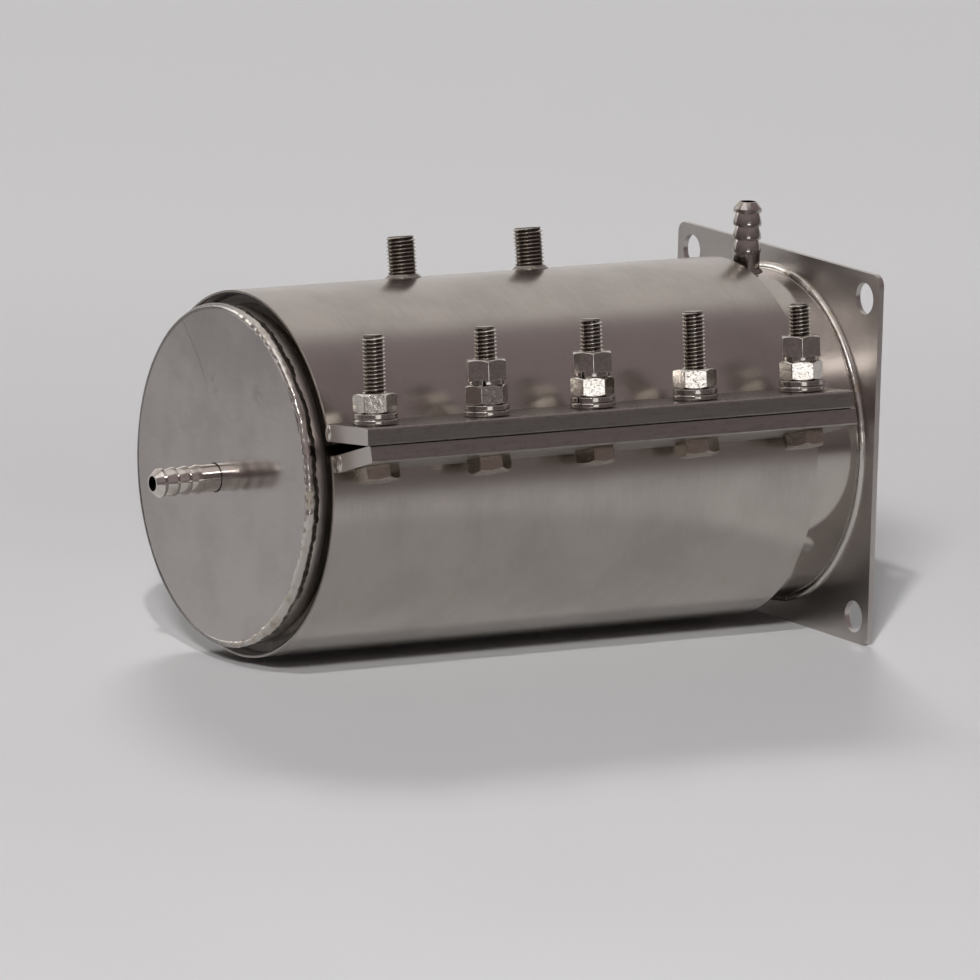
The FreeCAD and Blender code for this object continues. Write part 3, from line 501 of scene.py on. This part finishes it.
# Nipples: short lengths of stainless M8 x 1 threaded pipe, cut off square with a chamfered mouth.
# They are let into the jacket's sheet, square to it, and welded round.
NIPPLE_LEAN = math.radians(10.3)
NIPPLE_RADIUS = 4
NIPPLE_BORE = 2.5
NIPPLE_HEIGHT = 11
NIPPLE_SUNK = 1
NIPPLE_CHAMFER = 0.6
NIPPLE_PLACES = {1: -113.4, 2: -74.1}
THREAD_PITCH = 1
THREAD_DEPTH = 0.6
THREAD_CREST = (0.66, 0.62, 0.565, 1)
# The groove colour is painted shade.
THREAD_GROOVE_PAINTED_SHADE = (0.15, 0.13, 0.115, 1)


def cut_off(mesh, height, keep_below):
    """Cut a mesh level at this height and leave the cut open."""
    bmesh.ops.bisect_plane(mesh, geom=mesh.verts[:] + mesh.edges[:] + mesh.faces[:], plane_co=(0, 0, height),
                           plane_no=(0, 0, 1), clear_outer=keep_below, clear_inner=not keep_below)


def turn_down(mesh, height, radius):
    """Take off what stands outside a chamfer of 45 degrees that starts at this height."""
    for vertex in mesh.verts:
        limit = radius - max(0, vertex.co.z - height)
        reach = vertex.co.xy.length
        if reach > limit:
            vertex.co.xy *= limit / reach


def thread(radius, low, high, chamfer, bore=0, steps=40):
    """A threaded rod along Z, or a pipe if it has a bore: one turn of its flank is spun, repeated
    and cut off square at both ends, and the upper end is chamfered."""
    core = radius - THREAD_DEPTH
    mesh = bmesh.new()
    flank = [(core, 0), (radius, 0.40), (radius, 0.50), (core, 0.90), (core, 1)]
    corners = [mesh.verts.new((reach, 0, low + (rise - 1.5) * THREAD_PITCH)) for reach, rise in flank]
    edges = [mesh.edges.new(pair) for pair in zip(corners, corners[1:])]
    bmesh.ops.spin(mesh, geom=corners + edges, axis=(0, 0, 1), cent=(0, 0, 0), angle=2 * math.pi,
                   dvec=(0, 0, THREAD_PITCH / steps), steps=steps, use_merge=False)
    turn = mesh.verts[:] + mesh.edges[:] + mesh.faces[:]
    for number in range(1, math.ceil((high - low) / THREAD_PITCH) + 3):
        copy = bmesh.ops.duplicate(mesh, geom=turn)["geom"]
        bmesh.ops.translate(mesh, vec=(0, 0, number * THREAD_PITCH),
                            verts=[item for item in copy if isinstance(item, bmesh.types.BMVert)])
    bmesh.ops.remove_doubles(mesh, verts=mesh.verts, dist=0.001)
    cut_off(mesh, high, keep_below=True)
    cut_off(mesh, low, keep_below=False)
    turn_down(mesh, high - chamfer, radius)
    rims = [edge for edge in mesh.edges if edge.is_boundary]
    if bore:
        for height in (low, high):
            rim = [edge for edge in rims if abs(edge.verts[0].co.z - height) < 0.001]
            for item in bmesh.ops.extrude_edge_only(mesh, edges=rim)["geom"]:
                if isinstance(item, bmesh.types.BMVert):
                    item.co.xy *= bore / item.co.xy.length
        inner = [edge for edge in mesh.edges if edge.is_boundary]
        bmesh.ops.bridge_loops(mesh, edges=inner)
    else:
        bmesh.ops.holes_fill(mesh, edges=rims, sides=0)
    return mesh


def thread_steel(name, stand, radius):
    """Bright thread crests above grooves that are painted dark: painted shade. The rod stands
    along the Z of its place."""
    finish = Finish(bpy.data.materials.new(name))
    place = finish.place()
    foot, axis = stand.to_translation(), stand.to_3x3() @ Vector((0, 0, 1))
    across = (place.part(1) - foot.y) * axis.z - (place.part(2) - foot.z) * axis.y
    reach = ((place.part(0) - foot.x) ** 2 + across ** 2) ** 0.5
    end = finish.node("ShaderNodeNewGeometry", {}, {}, "True Normal").part(2).between(0.9, 0.96)
    # Painted shade: the grooves, inside the crest radius, are painted dark.
    crest = reach.between(radius - 0.5, radius - 0.05) + end
    wear = finish.cloud(place, 1.5)
    return finish.surface({"Base Color": crest.blend(THREAD_GROOVE_PAINTED_SHADE, THREAD_CREST), "Metallic": 1.0,
                           "Roughness": 0.14 + wear * 0.08})


def on_jacket(x):
    """The place of a nipple at this x: on the jacket and square to it."""
    return (Matrix.Translation((x, 0, 0)) @ Matrix.Rotation(-NIPPLE_LEAN, 4, "X")
            @ Matrix.Translation((0, 0, JACKET_RADIUS)))


for number, x in NIPPLE_PLACES.items():
    pipe = thread(NIPPLE_RADIUS, -NIPPLE_SUNK, NIPPLE_HEIGHT, NIPPLE_CHAMFER, bore=NIPPLE_BORE, steps=56)
    nipple_finish = thread_steel("nipple_%d_steel" % number, on_jacket(x), NIPPLE_RADIUS)
    fit("nipple_%d" % number, pipe, nipple_finish, "threaded_nipple_%d" % number,
        place=on_jacket(x))


# Welds: TIG beads with the puddle's ripples across them and a straw to brown heat tint in
# places. Round beads follow the joints, the one round the disc ground down on its far side, and
# short ones end the clamp bars.
WELD_STEEL = (0.66, 0.63, 0.59, 1)
WELD_TINT = (0.50, 0.43, 0.33, 1)
RIM_WELD_STEEL = (0.62, 0.59, 0.55, 1)
RIM_WELD_TINT = (0.46, 0.40, 0.32, 1)
GROUND_WELD = (0.24, 0.225, 0.215, 1)
FOOT_WELD_STEEL = (0.27, 0.245, 0.22, 1)
FOOT_WELD_TINT = (0.18, 0.155, 0.13, 1)
GROUND_SIDE_FADE = (-14, 6)
RIPPLE_LENGTH = 2.6
FOOT_RIPPLE_LENGTH = 1.5
RIM_CORNER = ((-1.0, 0.05), (-0.75, -0.10), (-0.35, -0.12), (0.05, 0.02), (0.40, 0.30), (0.62, 0.70),
              (0.70, 1.20), (0.64, 1.80), (0.45, 2.40), (0.20, 3.10), (0.0, 3.60), (-0.10, 1.0))
RIM_FOOT = (-0.10, 1.20)
NECK_ROOT = 0.05
NECK_FILLET = ((0, -1.5), (0, -2.85), (0.3, -2.84), (0.66, -2.70), (0.98, -2.42), (1.2, -2.0),
               (1.28, -1.5))
PLATE_FACE = -1.5


def weld_metal(name, bright, tinted, flat_side=None):
    """Weld metal with its heat tint, ground flat and grey on the +Y side if that has a colour."""
    finish = Finish(bpy.data.materials.new(name))
    place = finish.place()
    heat = finish.cloud(place, 5, 3, 0.6).between(0.45, 0.75)
    colour = heat.blend(bright, tinted)
    if flat_side:
        colour = place.part(1).between(*GROUND_SIDE_FADE).blend(colour, flat_side)
    return finish.surface({"Base Color": colour, "Metallic": 1.0, "Roughness": 0.22 + heat * 0.1,
                           "Normal": finish.bump(finish.cloud(place, 0.5, 3), 0.012)})


weld_finish = weld_metal("weld_steel", WELD_STEEL, WELD_TINT)
rim_weld_finish = weld_metal("rim_weld_steel", RIM_WELD_STEEL, RIM_WELD_TINT, GROUND_WELD)
foot_weld_finish = weld_metal("foot_weld_steel", FOOT_WELD_STEEL, FOOT_WELD_TINT)
ABOUT_X = Matrix.Rotation(math.radians(90), 4, "Y")


def bead(outline, foot, ripple, length, steps=480, calm=1.0):
    """A weld bead spun about Z. Ripples of this length and slow wandering swell and shrink it
    about its foot. The ripples come down to the calm share of their height on the +Y side."""
    mesh = turned(outline, steps)
    foot_radius, foot_height = foot
    waves = round(2 * math.pi * foot_radius / length)
    for vertex in mesh.verts:
        reach = vertex.co.xy.length
        bow = (vertex.co.z - foot_height) ** 2 / length
        wander = noise.noise(vertex.co * 0.13) + noise.noise(vertex.co * 0.4) * 0.7
        wave = math.sin(math.atan2(vertex.co.y, vertex.co.x) * waves + bow) * 0.16
        alive = min(1, max(calm, 0.5 - 1.2 * vertex.co.y / foot_radius))
        swell = 1 + ripple * alive * (wave + wander)
        vertex.co.xy *= (foot_radius + (reach - foot_radius) * swell) / reach
        vertex.co.z = foot_height + (vertex.co.z - foot_height) * swell
    return mesh


def off_corner(out, back):
    """A radius and an x, counted from the disc's front corner."""
    return TUBE_RADIUS + out, DISC_FACE + back


rim_bead = bead([off_corner(*point) for point in RIM_CORNER], off_corner(*RIM_FOOT), 0.3, RIPPLE_LENGTH,
                calm=0.12)
fit("weld_rim", rim_bead, rim_weld_finish, "rim_weld_bead", place=ABOUT_X, crease=50)
neck_foot = TUBE_RADIUS + NECK_ROOT
neck_bead = bead([(neck_foot + out, x) for out, x in NECK_FILLET], (neck_foot, PLATE_FACE), 0.05,
                 RIPPLE_LENGTH)
fit("weld_neck", neck_bead, weld_finish, "neck_weld_bead", place=ABOUT_X, crease=50)


def foot_bead(rod, host, ripple):
    """Fillet round a rod that stands on a cylinder lying along X, saddled on its top."""
    foot = rod / 2 + 0.03
    mesh = bead([(foot, -0.6), (foot, 0.95), (foot + 0.22, 0.72), (foot + 0.5, 0.42), (foot + 0.85, 0.14),
                 (foot + 1.0, -0.25), (foot + 1.0, -0.6)], (foot, 0), ripple, FOOT_RIPPLE_LENGTH, 120)
    for vertex in mesh.verts:
        vertex.co.z -= host - math.sqrt(host ** 2 - vertex.co.y ** 2)
    return mesh


fit("weld_neck_barb", foot_bead(BARB_FOOT, TUBE_RADIUS, 0.1), foot_weld_finish,
    "neck_barb_weld", place=neck_barb_place)
for number, x in NIPPLE_PLACES.items():
    fit("weld_nipple_%d" % number, foot_bead(2 * NIPPLE_RADIUS, JACKET_RADIUS, 0.12), foot_weld_finish,
        "nipple_weld_%d" % number, place=on_jacket(x))
dress("bar_end_welds", weld_finish)


# Clamp stacks: five M6 hexagon screws stand through both bars, heads below. Each carries a flat
# washer, a spring washer and a nut, and three of them a second small washer and nut for a cable.
BOLT_LINE_Y = -54.635
BOLT_LINE_Z = 21.779
BAR_TILT = math.radians(6.3)
BAR_WEDGE = math.radians(11.602)
BOLT_DISTANCES = {1: 8.1, 2: 41.7, 3: 73.9, 4: 105.4, 5: 138.5}
HEX_FLATS = 10
HEX_CHAMFER_SHARE = 0.95
COUNTERSINK = 0.45
HEAD_HEIGHT = 4
HEAD_SEAT = -10.931
BOLT_RADIUS = 3
BOLT_LENGTH = 34.1
BOLT_CHAMFER = 0.7
THREAD_IN_HEAD = 0.5
THREAD_TURN = 40
NUT_HEIGHT = 5.2
NUT_BORE = 2.95
FLAT_WASHER_THICKNESS = 1.6
SPRING_WASHER_THICKNESS = 1.4
WASHER_HOLE = 6.4
FLAT_WASHER = 12
SPRING_WASHER = 11.8
SMALL_WASHER = 9.4
WASHER_SLIT = 0.6
NUT_STEEL = (0.64, 0.605, 0.56, 1)
NUT_SHADE = (0.42, 0.385, 0.345, 1)
# The heads are painted a dark tan: painted shade under the bars, and a painted reflection of the shaded
# table.
HEAD_PAINTED_SHADE_STEEL = (0.35, 0.304, 0.254, 1)
HEAD_PAINTED_SHADE_MOTTLE = (0.22, 0.186, 0.151, 1)
WASHER_STEEL = (0.50, 0.465, 0.43, 1)
WASHER_SHADE = (0.34, 0.31, 0.285, 1)
# Each screw's turns in degrees: of its head, its nut and its spring washer's slit, and of the
# terminal nut and that nut's slit where it has them.
STACK_TURNS = {1: (-27, 30, 140, None), 2: (-25, -15, 75, (6, -124)), 3: (-2, 33, 200, (3, -150)),
               4: (-31, 31, 20, None), 5: (6, 33, 110, (3, 60))}


def forged_steel(name, gloss, pits, bright, dull):
    """Cold-forged and tumbled steel: bright and mottled, with small pits."""
    finish = Finish(bpy.data.materials.new(name))
    place = finish.place()
    mottle = finish.cloud(place, 1.3, 3, 0.6)
    pit = finish.cloud(place.plus((5, 2, 8)), 0.55, 2).between(0.58, 0.72)
    relief = finish.bump(mottle, pits, finish.bump(1 - pit, pits * 0.4))
    return finish.surface({"Base Color": (mottle.between(0.35, 0.7) * 0.5 + pit * 0.6).blend(bright, dull),
                           "Metallic": 1.0, "Roughness": gloss + pit * 0.12, "Normal": relief})


nut_finish = forged_steel("nut_steel", 0.13, 0.02, NUT_STEEL, NUT_SHADE)
# Painted shade and painted reflection: the heads' dark tan colours.
head_finish = forged_steel("bolt_head_painted_shade_steel", 0.2, 0.008, HEAD_PAINTED_SHADE_STEEL, HEAD_PAINTED_SHADE_MOTTLE)
washer_finish = forged_steel("washer_steel", 0.18, 0.005, WASHER_STEEL, WASHER_SHADE)


def hexagon(low, high, bore, upper_bevel=True):
    """A hexagonal blank. Its corners are turned off at thirty degrees, which leaves an arc on
    each flat, and its hole is countersunk."""
    face = HEX_CHAMFER_SHARE * HEX_FLATS / 2
    corner = HEX_FLATS / 2 / math.cos(math.radians(30))
    sink = COUNTERSINK if bore else 0
    mesh = turned([(bore, low + sink), (bore + sink, low), (face, low), (corner, low), (corner, high),
                   (face, high), (bore + sink, high), (bore, high - sink)], 144)
    for vertex in mesh.verts:
        if vertex.co.xy.length > face + 0.01:
            off_flat = math.atan2(vertex.co.y, vertex.co.x) % math.radians(60) - math.radians(30)
            reach = HEX_FLATS / 2 / math.cos(off_flat)
            drop = (reach - face) * math.tan(math.radians(30))
            vertex.co.xy *= reach / vertex.co.xy.length
            if vertex.co.z == low:
                vertex.co.z += drop
            elif upper_bevel:
                vertex.co.z -= drop
    return mesh


def ring(low, high, outside, slit=0.0):
    """A washer, or with a slit a spring washer."""
    hole = WASHER_HOLE / 2
    open_angle = math.degrees(slit / outside * 2)
    return turned([(hole, low), (outside / 2, low), (outside / 2, high), (hole, high)], 90, 360 - open_angle)


def turned_by(degrees):
    """A turn about Z, such as where a nut came to rest."""
    return Matrix.Rotation(math.radians(degrees), 4, "Z")


screw = thread(BOLT_RADIUS, HEAD_SEAT - THREAD_IN_HEAD, HEAD_SEAT + BOLT_LENGTH, BOLT_CHAMFER)
for number, (head_turn, nut_turn, slit_turn, terminal) in STACK_TURNS.items():
    along = JACKET_FRONT + BOLT_DISTANCES[number]
    stack_place = (Matrix.Translation((along, BOLT_LINE_Y, BOLT_LINE_Z))
                   @ Matrix.Rotation(-BAR_TILT, 4, "X"))
    screw_finish = thread_steel("screw_%d_steel" % number, stack_place, BOLT_RADIUS)
    fit("screw_%d_thread" % number, screw.copy(), screw_finish, "clamp_bolt_%d" % number,
        place=stack_place @ turned_by(THREAD_TURN * number))
    head_place = (stack_place @ Matrix.Translation((0, 0, HEAD_SEAT)) @ Matrix.Rotation(-BAR_WEDGE, 4, "X")
                  @ turned_by(head_turn))
    fit("screw_%d_head" % number, hexagon(-HEAD_HEIGHT, 0, 0, upper_bevel=False), head_finish,
        "clamp_bolt_%d" % number, place=head_place, edge=0.15)
    seat = FLAT_WASHER_THICKNESS
    fit("washer_%d_flat" % number, ring(0, seat, FLAT_WASHER), washer_finish,
        "flat_washer_%d" % number, place=stack_place, edge=0.55)
    fit("washer_%d_spring" % number, ring(seat, seat + SPRING_WASHER_THICKNESS, SPRING_WASHER, WASHER_SLIT),
        washer_finish, "spring_washer_%d" % number,
        place=stack_place @ turned_by(slit_turn), edge=0.5)
    seat += SPRING_WASHER_THICKNESS
    fit("nut_%d_clamp" % number, hexagon(seat, seat + NUT_HEIGHT, NUT_BORE), nut_finish,
        "clamp_nut_%d" % number, place=stack_place @ turned_by(nut_turn), edge=0.35)
    if terminal:
        terminal_turn, terminal_slit = terminal
        seat += NUT_HEIGHT
        fit("washer_%d_terminal" % number,
            ring(seat, seat + SPRING_WASHER_THICKNESS, SMALL_WASHER, WASHER_SLIT), washer_finish,
            "terminal_washer_%d" % number, place=stack_place @ turned_by(terminal_slit),
            edge=0.45)
        seat += SPRING_WASHER_THICKNESS
        fit("nut_%d_terminal" % number, hexagon(seat, seat + NUT_HEIGHT, NUT_BORE), nut_finish,
            "terminal_nut_%d" % number, place=stack_place @ turned_by(terminal_turn), edge=0.35)
screw.free()
